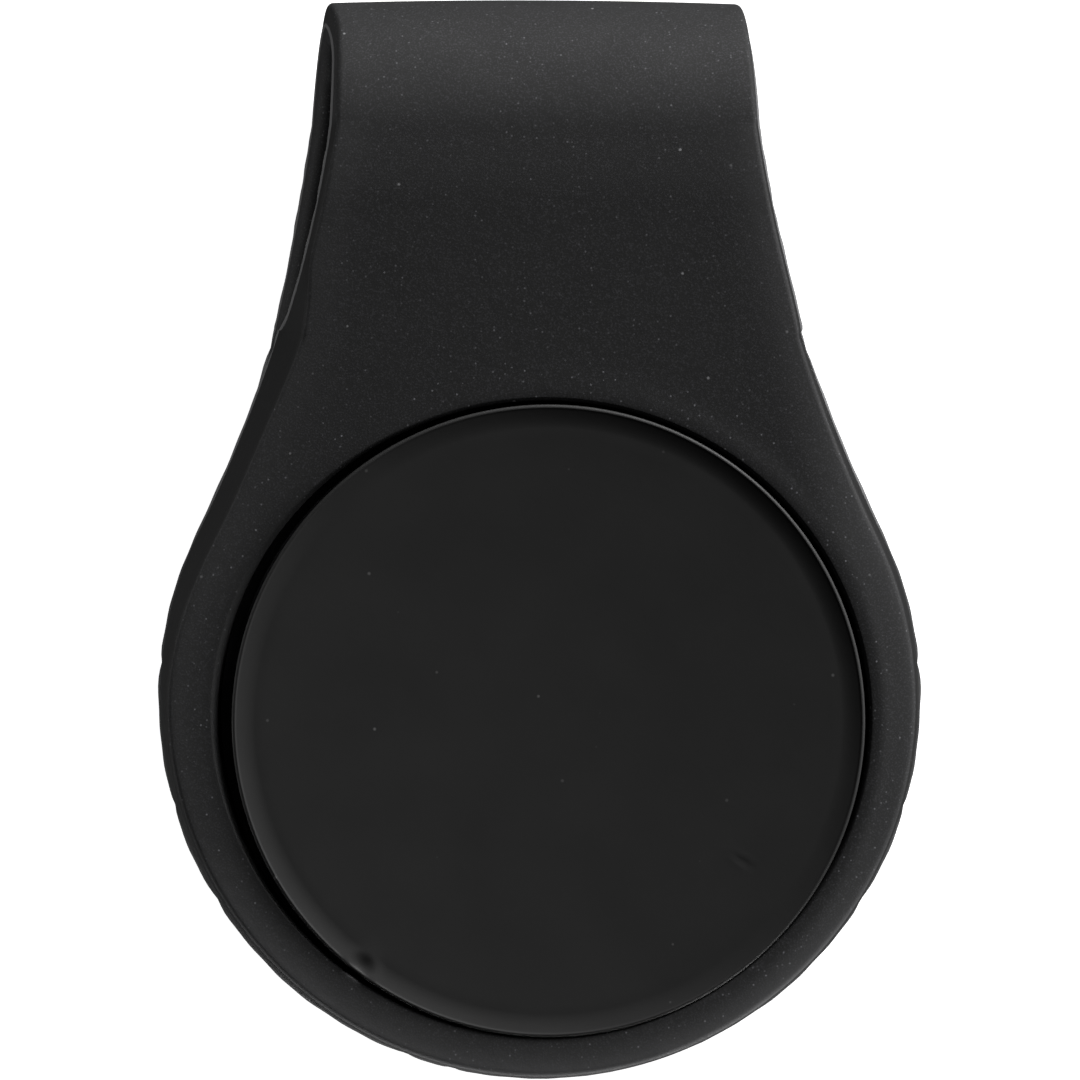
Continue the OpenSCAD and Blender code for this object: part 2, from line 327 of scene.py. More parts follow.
def half_outline(head_r, bend_r):
    """Points and outward normals of the right half, from the foot of the head up to the fold, and
    the number of the point where the head ends and the strap begins."""
    bend_x = STRAP_HALF + bend_r
    bend_y = math.sqrt((head_r + bend_r) ** 2 - bend_x**2)
    touch = math.atan2(bend_y, bend_x)
    angles = np.linspace(-math.pi / 2, touch, HEAD_STEPS + 1)
    head_normals = np.stack([np.cos(angles), np.sin(angles)], axis=1)
    head_points = head_normals * head_r + np.array([0, HEAD_Y])
    head_points[0, 0] = 0
    turns = np.linspace(0, math.pi / 2, WALL_STEPS + 1)
    wall_ys = LOOP_Y - LOOP_R * np.cos(turns)
    below = np.linspace(head_points[-1, 1], WALL_Y, NECK_STEPS // 2 + 1)[1:-1]
    above = np.linspace(LOOP_Y, FOLD_Y, NECK_STEPS // 2 + 1)[1:]
    ys = np.concatenate([below, wall_ys, above])
    sines = (HEAD_Y + bend_y - ys) / bend_r
    cosines = np.sqrt(1 - sines**2)
    neck_points = np.stack([bend_x - bend_r * cosines, ys], axis=1)
    squared = smooth(LOOP_Y, FOLD_Y, ys)
    neck_normals = np.stack([lerp(cosines, 1, squared), lerp(sines, 0, squared)], axis=1)
    neck_normals /= np.linalg.norm(neck_normals, axis=1)[:, None]
    split = HEAD_STEPS + 1 + len(below)
    return (
        np.concatenate([head_points, neck_points]),
        np.concatenate([head_normals, neck_normals]),
        split,
    )


# ---- Heights of the silicone ----


def wall_rise(y):
    """0 on the head and 1 on the strap: a quarter turn at the end of the loop."""
    run = np.clip((LOOP_Y - y) / LOOP_R, 0, 1)
    return np.where(y <= WALL_Y, 0, np.sqrt(1 - run**2))


def front_under(x, y):
    """Underside of the head, rising to the underside of the strap."""
    return lerp(HEAD_Z, TOP_Z - STRAP_T, wall_rise(y)) + 0 * x


def front_top(x, y):
    """The front face's plane, which the relief is added to."""
    return TOP_Z - BEAD_H + 0 * x + 0 * y


def front_relief(x, y):
    """How far the front face stands above its plane: a soft bead round the pocket, and a rim that falls
    away to the outline. Both are fullest on the right, where the soft head is pulled down."""
    depth = outline_depth(x, y, HEAD_R, NECK_R)
    from_axis = np.hypot(x, y)
    facing = (x * math.cos(CROWN_AT) + y * math.sin(CROWN_AT)) / np.maximum(from_axis, WELD)
    steep = np.clip(facing, 0, 1) ** CROWN_SPREAD
    from_bead = (from_axis - POCKET_R - BEAD_AT) / BEAD_W
    bead = BEAD_H * lerp(BEAD_LEAST, 1, steep) * np.exp(-(from_bead**2))
    on_head = 1 - smooth(HEAD_FADE_Y, WALL_Y, y)
    on_neck = 1 - smooth(LOOP_Y, FOLD_Y, y)
    neck_share = CROWN_NECK * on_neck * lerp(CROWN_NECK_LEAST, 1, steep)
    height = CROWN * lerp(neck_share, lerp(CROWN_LEAST, 1, steep), on_head)
    away = (x * math.cos(SINK_AT) + y * math.sin(SINK_AT)) / np.maximum(from_axis, WELD)
    sink = LEFT_SINK * on_head * np.clip(away, 0, 1) ** 2
    return bead - sink - height * np.clip(1 - depth / CROWN_W, 0, 1) ** EDGE_POWER


def back_under(x, y):
    """The back leaf's flat outside."""
    return 0 * x + 0 * y


def back_top(x, y):
    """Inside face of the back leaf, thick behind the head and thinner on the strap."""
    return lerp(LEAF_T, STRAP_T, wall_rise(y)) + 0 * x


def front_part_z(y):
    """Height of the front leaf's parting line, which is half-way up its wall."""
    return lerp((TOP_Z + HEAD_Z) / 2, TOP_Z - STRAP_T / 2, wall_rise(y))


def back_part_z(y):
    """Height of the back leaf's parting line."""
    return lerp(LEAF_T / 2, STRAP_T / 2, wall_rise(y))


def flash_height(count, seed):
    """Height of the thin mould flash at each point: a little uneven, with a few nicks."""
    rng = np.random.default_rng(seed)
    steps = np.arange(count)
    wave = np.zeros(count)
    for length in (5.0, 11.0, 23.0):
        wave += np.sin(steps / length * 2 * math.pi + rng.uniform(0, 2 * math.pi)) / 3
    height = FLASH * (0.75 + 0.3 * wave)
    for middle in rng.integers(6, count - 20, FLASH_NICKS):
        height *= 1 - 0.9 * np.exp(-(((steps - middle) / 0.9) ** 2))
    return np.minimum(height, FLASH)


def edge_arc(radius, start, stop):
    """Offsets inward from the wall and heights above the arc's centre, for a quarter round edge."""
    angles = np.linspace(start, stop, ARC_STEPS + 1)
    return radius * (1 - np.cos(angles)), radius * np.sin(angles)


def edge_rows(point, normal, under, top, part_z, flash, round_r):
    """The leaf's edge at one point of its outline, from the underside round the parting line to the top."""
    radius_low = min(EDGE_R, EDGE_SHARE * (part_z - under))
    radius_high = min(round_r, EDGE_SHARE * (top - part_z))
    low_in, low_z = edge_arc(radius_low, -math.pi / 2, 0)
    high_in, high_z = edge_arc(radius_high, 0, math.pi / 2)
    draft_low = DRAFT * (part_z - under)
    draft_high = DRAFT * (top - part_z)
    insets = [*(low_in + draft_low), 0, 0, -flash, 0, 0, *(high_in + draft_high)]
    insets = [inset + FLASH for inset in insets]
    heights = [
        *(low_z + under + radius_low),
        part_z - 2 * FLASH_T,
        part_z - FLASH_T,
        part_z,
        part_z + FLASH_T,
        part_z + 2 * FLASH_T,
        *(high_z + top - radius_high),
    ]
    return [
        [point[0] - normal[0] * inset, point[1] - normal[1] * inset, z]
        for inset, z in zip(insets, heights)
    ]


def edge_band(points, normals, under, top, part_z, flash, round_r):
    """The whole edge of one half of a leaf, as a grid [station][row]."""
    rows = []
    for point, normal, fin in zip(points, normals, flash):
        inner = point - normal * EDGE_R
        low = float(under(inner[0], inner[1]))
        high = float(top(inner[0], inner[1]))
        rows.append(edge_rows(point, normal, low, high, float(part_z(point[1])), fin, round_r))
    return np.array(rows)


def plate(skin, tag, edge, split, hole_r, height, drift):
    """One face of a leaf: from its edge in to a round hole on the head, and across to the middle line on the
    strap. Returns the rim of the hole, over the right half."""
    lengths = np.linalg.norm(np.diff(edge[: split + 1, :2], axis=0), axis=1)
    share = np.concatenate([[0], np.cumsum(lengths)]) / lengths.sum()
    angles = (share - 0.5) * math.pi
    rim = np.stack([hole_r * np.cos(angles), hole_r * np.sin(angles)], axis=1)
    rim[0, 0] = 0
    rim[-1, 0] = 0
    steps = np.linspace(0, 1, INNER_ROWS + 1)[:, None, None]
    flat = edge[None, :, :2]
    middle = np.stack([0 * edge[:, 0], edge[:, 1]], axis=1)
    middle[-1, 1] = FOLD_Y
    around = lerp(flat[:, : split + 1], rim[None], steps)
    across = lerp(flat[:, split:], middle[None, split:], steps)
    patch_steps = np.linspace(0, 1, PATCH_ROWS + 1)[:, None, None]
    patch = lerp(around[None, :, -1], across[None, :, 0], patch_steps)
    for sheet in (around, across, patch):
        add_face(skin, tag, sheet, height, edge, drift)
    return rim


def painted_edge_sheen(x, y):
    """How pale the top face is painted near its edge, a painted sheen, most of all round the foot of the
    head.
    """
    depth = outline_depth(x, y, HEAD_R, NECK_R)
    foot = smooth(*FOOT_Y, y)
    near_edge = np.clip(1 - depth / SHEEN_W, 0, 1) ** EDGE_POWER
    return lerp(SHEEN_EDGE, SHEEN_FOOT, foot) * near_edge


def add_face(skin, tag, sheet, height, edge, drift):
    """Adds a sheet of plan points to both halves at the leaf's height. Points on the edge keep the
    edge's height."""
    z = height(sheet[..., 0], sheet[..., 1])
    for row, column in np.ndindex(z.shape):
        gap = np.abs(edge[:, 0] - sheet[row, column, 0]) + np.abs(edge[:, 1] - sheet[row, column, 1])
        nearest = int(np.argmin(gap))
        if gap[nearest] < WELD:
            z[row, column] = edge[nearest, 2]
    grid = np.concatenate([sheet, z[..., None]], axis=-1)
    # Painted sheen near the face's edge
    face_sheen = painted_edge_sheen(sheet[..., 0], sheet[..., 1]) if height is front_top else None
    add_halves(skin, tag, grid, drift, face_sheen)


def add_halves(skin, tag, grid, drift, wear_and_painted_light=None):
    """Adds a grid and its mirror image, each moved by the drift at its points."""
    for side in (1, -1):
        shifted = grid * np.array([side, 1, 1])
        shifted += drift(shifted)
        skin.grid(shifted, tag, wear_and_painted_light)


def flash_scuff_and_highlight(band, first=0):
    """Marks the rows of a band that make its flash, pale from scuffing with a painted highlight, most of all
    on the strap.
    """
    wear_and_painted_light = np.zeros(band.shape[:2])
    rows = slice(first + FLASH_FIRST, first + FLASH_END)
    # Pale flash: scuff marks and a painted highlight, paler along the strap
    wear_and_painted_light[:, rows] = lerp(FLASH_SCUFF_AND_HIGHLIGHT, 1, smooth(*FLASH_SCUFF_AND_HIGHLIGHT_Y, band[:, rows, 1]))
    return wear_and_painted_light


def front_edge_wear_and_painted_light(band):
    """Marks the front leaf's edge: pale flash with a painted highlight, painted shade on the wall, and the
    face's painted sheen where it ends.
    """
    wear_and_painted_light = flash_scuff_and_highlight(band)
    # Painted shade on the wall below and above the flash
    wear_and_painted_light[:, :FLASH_FIRST] = -WALL_PAINTED_SHADE
    wear_and_painted_light[:, FLASH_END:-FACE_ROWS] = -WALL_PAINTED_SHADE
    # The face's painted sheen where the edge ends
    wear_and_painted_light[:, -FACE_ROWS:] = painted_edge_sheen(band[:, -FACE_ROWS:, 0], band[:, -FACE_ROWS:, 1])
    return wear_and_painted_light


def rings(skin, tag, rim, profile, drift):
    """Turned surface inside a hole: profile is a list of (radius, height), and rim gives the angles. A
    height may be a function of the plan position, which lets the ring follow the leaf's relief."""
    angles = np.arctan2(rim[:, 1], rim[:, 0])
    angles[0], angles[-1] = -math.pi / 2, math.pi / 2
    grid = []
    for radius, height in profile:
        x = radius * np.cos(angles)
        y = radius * np.sin(angles)
        x[0], x[-1] = 0, 0
        z = height(x, y) if callable(height) else np.full(len(x), float(height))
        grid.append(np.stack([x, y, z], axis=1))
    add_halves(skin, tag, np.array(grid), drift)


def lean(points):
    """How far the soft strap is skewed. The lower it is, the further to the left it lies at the fold, and
    on the left of the neck the front leaf's wall leans out from under its face."""
    x, y, z = np.moveaxis(points, -1, 0)
    share = (TOP_Z - z) / TOP_Z
    aside = -LEAF_DRIFT * share * smooth(DRIFT_Y, FOLD_Y, y)
    on_left = smooth(*LEFT_X, x)
    on_front = smooth(MID_Z, TOP_Z - STRAP_T, z)
    aside += LEFT_INSET * on_left * smooth(*INSET_Y, y) * on_front
    near_r, far_r = NECK_DRAFT_OUT_R
    beside_head = smooth(POCKET_R + near_r, POCKET_R + far_r, np.hypot(x, y))
    along = smooth(*NECK_DRAFT_IN_Y, y) * (1 - smooth(*NECK_DRAFT_OUT_Y, y))
    above_part = smooth(front_part_z(y), TOP_Z - NECK_DRAFT_TOP, z)
    aside += NECK_DRAFT * on_left * along * beside_head * above_part
    down = FOLD_EASE * smooth(FOLD_Y - FOLD_EASE_FROM, FOLD_Y + FOLD_EASE_TO, y) * on_front
    return np.stack([aside, 0 * aside, -down], axis=-1)


def lip_shift(points):
    """How far the front leaf is out of shape: the lean, the relief of its face, and a lip that is pulled a
    little to the right and slightly oval, as soft silicone is."""
    x, y, z = np.moveaxis(points, -1, 0)
    from_axis = np.maximum(np.hypot(x, y), WELD)
    near = 1 - smooth(POCKET_R + LIP_R, POCKET_R + LIP_REACH, from_axis)
    share = near * smooth(MODULE_TOP, MODULE_TOP + LIP_RISE, z)
    away = np.clip((x * math.cos(SINK_AT) + y * math.sin(SINK_AT)) / from_axis, 0, 1) ** 4
    on_lip = smooth(TOP_Z - LIP_DEPTH, TOP_Z - 0.03, z)
    soft = away * (share * LIP_PULL + LIP_SOFT * near * on_lip)
    aside = share * (LIP_X + LIP_OVAL * x / from_axis) + soft * x / from_axis
    along = -share * LIP_OVAL * y / from_axis + soft * y / from_axis
    up = front_relief(x, y) * smooth(front_part_z(y), TOP_Z - LIP_DEPTH, z)
    return np.stack([aside, along, up], axis=-1) + lean(points)


# Tags of the strap's three pieces
FRONT = 0
FOLD = 1
BACK = 2


def lip_profile():
    """From the bead at the top of the lip, down round it to the pocket's wall."""
    crest_r = POCKET_R + LIP_R
    profile = []
    for angle in np.linspace(0, math.pi / 2, LIP_STEPS + 1):
        radius = POCKET_R + LIP_R * (1 - math.sin(angle))
        drop = LIP_DEPTH * (1 - math.cos(angle))
        profile.append((radius, lambda x, y, drop=drop: front_top_on_ring(x, y, crest_r) - drop))
    return profile


def front_top_on_ring(x, y, radius):
    """Height of the front leaf's top where the line from the axis through a point crosses a circle."""
    length = np.maximum(np.hypot(x, y), WELD)
    return front_top(x / length * radius, y / length * radius)


def add_front_leaf(skin):
    """The front leaf: its edge, its two faces, the rolled lip and the stepped hole for the click module."""
    points, normals, split = half_outline(HEAD_R, NECK_R)
    flash = flash_height(len(points), 3)
    band = edge_band(points, normals, front_under, front_top, front_part_z, flash, EDGE_R)
    add_halves(skin, FRONT, band, lip_shift, front_edge_wear_and_painted_light(band))
    rim = plate(skin, FRONT, band[:, -1], split, POCKET_R + LIP_R, front_top, lip_shift)
    under_r = LEDGE_R + LEDGE_BREAK
    plate(skin, FRONT, band[:, 0], split, under_r, front_under, lip_shift)
    cavity_r = MODULE_R + SEAT_GAP
    rings(skin, FRONT, rim, lip_profile(), lip_shift)
    inside = [
        (POCKET_R, lambda x, y: front_top_on_ring(x, y, POCKET_R + LIP_R) - LIP_DEPTH),
        (POCKET_R, MODULE_TOP + LIP_DEPTH),
        (POCKET_R, MODULE_TOP),
        (cavity_r, MODULE_TOP),
        (cavity_r, MODULE_Z),
        (LEDGE_R, MODULE_Z),
        (LEDGE_R, HEAD_Z + LEDGE_BREAK),
        (under_r, HEAD_Z),
    ]
    rings(skin, FRONT, rim, inside, lip_shift)
    return band


def add_back_leaf(skin):
    """The back leaf: its edge, its two faces and the recess for the cover."""
    points, normals, split = half_outline(BACK_HEAD_R, BACK_NECK_R)
    flash = flash_height(len(points), 8)
    band = edge_band(points, normals, back_under, back_top, back_part_z, flash, BACK_EDGE_R)
    add_halves(skin, BACK, band, lean, flash_scuff_and_highlight(band))
    recess_r = COVER_R + SEAT_GAP
    mouth_r = recess_r + RECESS_BREAK
    rim = plate(skin, BACK, band[:, 0], split, mouth_r, back_under, lean)
    recess = [
        (mouth_r, 0),
        (recess_r + RECESS_ROUND, RECESS_ROUND),
        (recess_r, RECESS_BREAK),
        (recess_r, COVER_T),
        (0, COVER_T),
    ]
    rings(skin, BACK, rim, recess, lean)
    rim = plate(skin, BACK, band[:, -1], split, mouth_r, back_top, lean)
    inner = [(mouth_r * share, LEAF_T) for share in (1, 0.75, 0.5, 0.25, 0)]
    rings(skin, BACK, rim, inner, lean)
    return band


def add_fold(skin, front_band, back_band):
    """The strap's section swept round the fold, from the back leaf's last section to the front leaf's."""
    front_section = section_of(front_band[-1])
    back_section = section_of(back_band[-1])[::-1]
    sweep = []
    for turn in np.linspace(-math.pi / 2, math.pi / 2, FOLD_STEPS + 1):
        share = (math.sin(turn) + 1) / 2
        front_half = half_width(FOLD_Y, HEAD_R, NECK_R)
        back_half = half_width(FOLD_Y, BACK_HEAD_R, BACK_NECK_R)
        half = lerp(back_half, front_half, share)
        half = lerp(half, FOLD_HALF, math.cos(turn))
        row = []
        for (front_x, front_r), (back_x, back_r) in zip(front_section, back_section):
            across = lerp(back_x, front_x, share) * half / lerp(back_half, front_half, share)
            radius = lerp(back_r, front_r, share)
            radius -= FOLD_CROWN * math.cos(turn) * (across / half) ** 2
            row.append([across, FOLD_Y + radius * math.cos(turn), MID_Z + radius * math.sin(turn)])
        sweep.append(row)
    sweep = np.array(sweep)
    add_halves(skin, FOLD, sweep, lean, flash_scuff_and_highlight(sweep, INNER_ROWS))


def section_of(edge_row):
    """One half of the strap's section as (x, radius about the fold). On the front leaf it runs from the
    middle of the inside face round the edge to the middle of the outside face, on the back leaf the
    other way."""
    low = edge_row[0]
    high = edge_row[-1]
    steps = np.linspace(1, 0, INNER_ROWS + 1)[:-1]
    section = [(low[0] * (1 - t), low[2]) for t in steps]
    section += [(p[0], p[2]) for p in edge_row]
    section += [(high[0] * (1 - t), high[2]) for t in steps[::-1]]
    return [(x, abs(z - MID_Z)) for x, z in section]


def split_skin(mesh, names, material):
    """Cuts the welded strap into its pieces and closes the cuts with flat caps. Each piece keeps the whole
    strap's normals, so no seam shows."""
    whole = bpy.data.meshes.new("whole")
    mesh.to_mesh(whole)
    normals = [normal.vector.copy() for normal in whole.vertex_normals]
    pieces = []
    for tag, name in enumerate(names):
        part = mesh.copy()
        origin = part.verts.layers.int.new("origin")
        for vertex in part.verts:
            vertex[origin] = vertex.index
        others = [face for face in part.faces if face.material_index != tag]
        bmesh.ops.delete(part, geom=others, context="FACES")
        rims = [edge for edge in part.edges if edge.is_boundary]
        caps = bmesh.ops.holes_fill(part, edges=rims, sides=0)["faces"]
        for cap in caps:
            cap.smooth = False
        for face in part.faces:
            face.material_index = 0
        kept = [vertex[origin] for vertex in part.verts]
        piece = new_piece(name, part, material)
        loops = []
        for face in piece.data.polygons:
            for corner in face.vertices:
                loops.append(normals[kept[corner]] if face.use_smooth else face.normal.copy())
        piece.data.normals_split_custom_set(loops)
        pieces.append(piece)
    mesh.free()
    bpy.data.meshes.remove(whole)
    return pieces


# ---- Button disc ----

# Hollow of the face, and the raised rim with its rounded crest
FACE_DISH = 0.28
RIM_RISE = 0.15
RIM_W = 0.85
RIM_INSET = 0.15
RIM_SAG = 0.012
RIM_BOW = 0.35
SHOULDER_R = 0.12
CREST_FROM = 0.62 * math.pi
UNDER_R = 0.12
# Fineness of the disc
DISC_TURNS = 480
FACE_RINGS = 33
RIM_RINGS = 12
CREST_RINGS = 8
# A dent at the lower left of the face and a small pit at the lower right
DENT_AT = (-7.4, -9.7)
DENT_R = 0.34
DENT_DEPTH = 0.1
PIT_AT = (7.55, -5.45)
PIT_R = 0.13
PIT_DEPTH = 0.06
# The swelling round a dent: its share of the depth, and its place and width in dent radii
SWELL = 0.25
SWELL_AT = 1.7
SWELL_W = 0.6
# Two rings of the section lie at least this far apart
LEAST_STEP = 0.01


def disc_profile():
    """Radius and height of the disc's section, from the middle of its face over the rim to its back."""
    face_r = DISC_R - RIM_INSET - RIM_W
    face_z = DISC_TOP - RIM_RISE
    profile = []
    for share in np.linspace(0, 1, FACE_RINGS + 1):
        profile.append((face_r * share, face_z - FACE_DISH * (1 - share**2)))
    for share in np.linspace(0, 1, RIM_RINGS + 1)[1:]:
        rise = RIM_RISE * share**2 * (1 + RIM_BOW - RIM_BOW * share)
        profile.append((face_r + RIM_W * share, face_z + rise - RIM_SAG * share))
    crest_r = DISC_R - SHOULDER_R
    crest_z = DISC_TOP - SHOULDER_R
    for angle in np.linspace(CREST_FROM, 0, CREST_RINGS + 1):
        radius = crest_r + SHOULDER_R * math.cos(angle)
        if radius > profile[-1][0] + LEAST_STEP:
            profile.append((radius, crest_z + SHOULDER_R * math.sin(angle)))
    low = DISC_TOP - DISC_T
    profile += [(DISC_R, low + UNDER_R), (DISC_R - UNDER_R / 3, low + UNDER_R / 4)]
    profile += [(DISC_R - UNDER_R, low), (0, low)]
    return profile


def hollow(x, y, at, radius, depth):
    """A soft-edged dent of the given radius and depth, with a slight swelling round it."""
    distance = np.hypot(x - at[0], y - at[1]) / radius
    swelling = SWELL * depth * np.exp(-(((distance - SWELL_AT) / SWELL_W) ** 2))
    return depth * np.exp(-(distance**2)) - swelling


def make_disc(material):
    """The coated disc, with its dent and its pit pressed into the face."""
    skin = Skin()
    turns = np.linspace(0, 2 * math.pi, DISC_TURNS + 1)
    turns[-1] = 0
    grid = []
    lowest_face = DISC_TOP - RIM_RISE - FACE_DISH
    for radius, height in disc_profile():
        x = radius * np.cos(turns)
        y = radius * np.sin(turns)
        z = np.full(len(x), height)
        if height > lowest_face - LEAST_STEP:
            z = z - hollow(x, y, DENT_AT, DENT_R, DENT_DEPTH)
            z = z - hollow(x, y, PIT_AT, PIT_R, PIT_DEPTH)
            z = np.minimum(z, DISC_TOP)
        grid.append(np.stack([x, y, z], axis=1))
    skin.grid(grid)
    mesh = skin.welded()
    bmesh.ops.translate(mesh, verts=mesh.verts, vec=(DISC_X, DISC_Y, 0))
    return new_piece("thumb_disc", mesh, material)


# ---- Turned and swept pieces ----

# The cover's flat border, and how deep the middle of its outside is
COVER_RIM_W = 2.2
COVER_HOLLOW = 0.06
COVER_STEPS = 180
# The snap dome, with a dimple that takes up this share of its radius
DOME_T = 0.2
DOME_RINGS = 19
DOME_STEPS = 96
DIMPLE = 0.06
DIMPLE_SHARE = 0.12
# The return spring. Its end turns lie flat over this part of a turn.
WIRE_R = 0.225
SPRING_TURNS = 4
END_TURN = 0.75
SPRING_STEPS = 64
WIRE_SIDES = 12


def turned(name, profile, steps, material):
    """A closed or open turned piece about the axis from (radius, height) pairs."""
    skin = Skin()
    turns = np.linspace(0, 2 * math.pi, steps + 1)
    turns[-1] = 0
    grid = []
    for radius, height in profile:
        column = [radius * np.cos(turns), radius * np.sin(turns), np.full(steps + 1, float(height))]
        grid.append(np.stack(column, axis=1))
    skin.grid(grid)
    return new_piece(name, skin.welded(), material)


def make_rear_cover(material):
    """Moulded cover with a broken edge, and a shallow round hollow inside its flat border."""
    hollow_r = COVER_R - COVER_RIM_W
    profile = [
        (0, COVER_HOLLOW),
        (hollow_r * 0.5, COVER_HOLLOW),
        (hollow_r - 0.5, COVER_HOLLOW),
        (hollow_r - 0.35, 0.02),
        (hollow_r - 0.2, 0),
        (hollow_r + 0.3, 0),
        (COVER_R - 0.25, 0),
        (COVER_R - 0.12, 0.02),
        (COVER_R - 0.03, 0.08),
        (COVER_R, 0.16),
        (COVER_R, COVER_T),
        (0, COVER_T),
    ]
    return turned("leaf_cover", profile, COVER_STEPS, material)


def make_dome(material):
    """Snap dome, as a thin shell with a small dimple in the middle."""
    low, high = box_mm("click_dome")
    rise = high[2] - low[2] - DOME_T
    outer = []
    for share in np.linspace(0, 1, DOME_RINGS + 1):
        dimple = DIMPLE * math.exp(-((share / DIMPLE_SHARE) ** 2))
        outer.append((high[0] * share, low[2] + DOME_T + rise * (1 - share**2) - dimple))
    inner = [(radius, height - DOME_T) for radius, height in reversed(outer)]
    return turned("snap_dome", outer + inner, DOME_STEPS, material)


def make_spring(material):
    """Return spring as a smooth round wire, with its end turns lying flat."""
    low, high = box_mm("return_spring")
    coil_r = high[0] - WIRE_R
    start = low[2] + WIRE_R
    rise = high[2] - low[2] - 2 * WIRE_R
    grid = []
    for step in range(SPRING_TURNS * SPRING_STEPS + 1):
        turn = step / SPRING_STEPS
        share = min(1, max(0, (turn - END_TURN) / (SPRING_TURNS - 2 * END_TURN)))
        angle = 2 * math.pi * turn
        ring = []
        for side in range(WIRE_SIDES + 1):
            around = 2 * math.pi * (side % WIRE_SIDES) / WIRE_SIDES
            reach = coil_r + WIRE_R * math.cos(around)
            height = start + rise * share + WIRE_R * math.sin(around)
            ring.append([reach * math.cos(angle), reach * math.sin(angle), height])
        grid.append(ring)
    skin = Skin()
    skin.grid(grid)
    mesh = skin.welded()
    rims = [edge for edge in mesh.edges if edge.is_boundary]
    bmesh.ops.holes_fill(mesh, edges=rims, sides=0)
    bmesh.ops.recalc_face_normals(mesh, faces=mesh.faces)
    return new_piece("spring_coil", mesh, material)


# ---- Materials ----


class Nodes:
    """Short names for the nodes of one material."""

    def __init__(self, name, **values):
        self.material = bpy.data.materials.new(name)
        self.material.use_nodes = True
        self.tree = self.material.node_tree
        self.shader = self.tree.nodes["Principled BSDF"]
        for key, value in values.items():
            self.shader.inputs[key.replace("_", " ")].default_value = value
        coords = self.add("ShaderNodeTexCoord")
        self.millimetres = self.add("ShaderNodeMapping")
        self.millimetres.inputs["Scale"].default_value = (1 / MM,) * 3
        self.link(coords.outputs["Object"], self.millimetres.inputs["Vector"])

    def add(self, kind, **values):
        """A new node with these properties set."""
        node = self.tree.nodes.new(kind)
        for key, value in values.items():
            setattr(node, key, value)
        return node

    def link(self, out, into):
        self.tree.links.new(out, into)

    def noise(self, size, detail=2.0, rough=0.5):
        """Noise from 0 to 1 whose features are about this many millimetres across."""
        node = self.add("ShaderNodeTexNoise")
        node.inputs["Scale"].default_value = 1 / size
        node.inputs["Detail"].default_value = detail
        node.inputs["Roughness"].default_value = rough
        self.link(self.millimetres.outputs["Vector"], node.inputs["Vector"])
        return node.outputs["Fac"]

    def wear_and_painted_light(self):
        """From 1 where the mesh is marked pale, for scuff marks on the flash, painted highlight and painted
        sheen, through 0, to -1 where it is marked for painted shade.
        """
        return self.add("ShaderNodeAttribute", attribute_name="wear_and_painted_light").outputs["Fac"]

    def across(self):
        """Distance to the right of the middle, in millimetres."""
        node = self.add("ShaderNodeSeparateXYZ")
        self.link(self.millimetres.outputs["Vector"], node.inputs["Vector"])
        return node.outputs["X"]

    def ring(self, radius, width):
        """1 at a radius from the button's axis, falling to 0 within a width to either side."""
        flat = self.add("ShaderNodeVectorMath", operation="MULTIPLY")
        flat.inputs[1].default_value = (1, 1, 0)
        length = self.add("ShaderNodeVectorMath", operation="LENGTH")
        self.link(self.millimetres.outputs["Vector"], flat.inputs[0])
        self.link(flat.outputs["Vector"], length.inputs[0])
        away = self.math("ABSOLUTE", self.math("SUBTRACT", length.outputs["Value"], radius), 0)
        return self.ramp(away, 0, width, 1, 0)

    def spots(self, spacing, radius, share):
        """1 inside scattered round spots and 0 outside. Share is how many of the cells hold a spot."""
        node = self.add("ShaderNodeTexVoronoi")
        node.inputs["Scale"].default_value = 1 / spacing
        self.link(self.millimetres.outputs["Vector"], node.inputs["Vector"])
        inside = self.ramp(node.outputs["Distance"], radius / spacing, radius / spacing * 0.4, 0, 1)
        split = self.add("ShaderNodeSeparateColor")
        self.link(node.outputs["Color"], split.inputs["Color"])
        chosen = self.ramp(split.outputs["Red"], 1 - share, 1, 0.25, 1)
        kept = self.math("GREATER_THAN", split.outputs["Red"], 1 - share)
        return self.math("MULTIPLY", self.math("MULTIPLY", inside, chosen), kept)

    def math(self, operation, a, b):
        """Sum, product or the like of two values, each a number or a socket."""
        node = self.add("ShaderNodeMath", operation=operation)
        for socket, value in zip(node.inputs, (a, b)):
            if isinstance(value, (int, float)):
                socket.default_value = value
            else:
                self.link(value, socket)
        return node.outputs["Value"]

    def ramp(self, value, from_low, from_high, to_low, to_high):
        """A value turned from one range into another in a straight line, and kept within it."""
        node = self.add("ShaderNodeMapRange")
        self.link(value, node.inputs["Value"])
        limits = (from_low, from_high, to_low, to_high)
        for socket, limit in zip(("From Min", "From Max", "To Min", "To Max"), limits):
            node.inputs[socket].default_value = limit
        return node.outputs["Result"]

    def mix(self, share, a, b):
        """Colour a where share is 0 and colour b where it is 1."""
        node = self.add("ShaderNodeMix", data_type="RGBA")
        self.link(share, node.inputs["Factor"])
        for socket, value in ((node.inputs[6], a), (node.inputs[7], b)):
            if isinstance(value, tuple):
                socket.default_value = (*value, 1)
            else:
                self.link(value, socket)
        return node.outputs[2]

    def bump(self, heights):
        """Adds up bumps, each a height from 0 to 1 and the depth in millimetres that it stands for."""
        normal = None
        for height, depth in heights:
            node = self.add("ShaderNodeBump")
            node.inputs["Distance"].default_value = depth * MM
            self.link(height, node.inputs["Height"])
            if normal is not None:
                self.link(normal, node.inputs["Normal"])
            normal = node.outputs["Normal"]
        self.link(normal, self.shader.inputs["Normal"])

    def colour(self, out):
        self.link(out, self.shader.inputs["Base Color"])

    def roughness(self, out):
        self.link(out, self.shader.inputs["Roughness"])


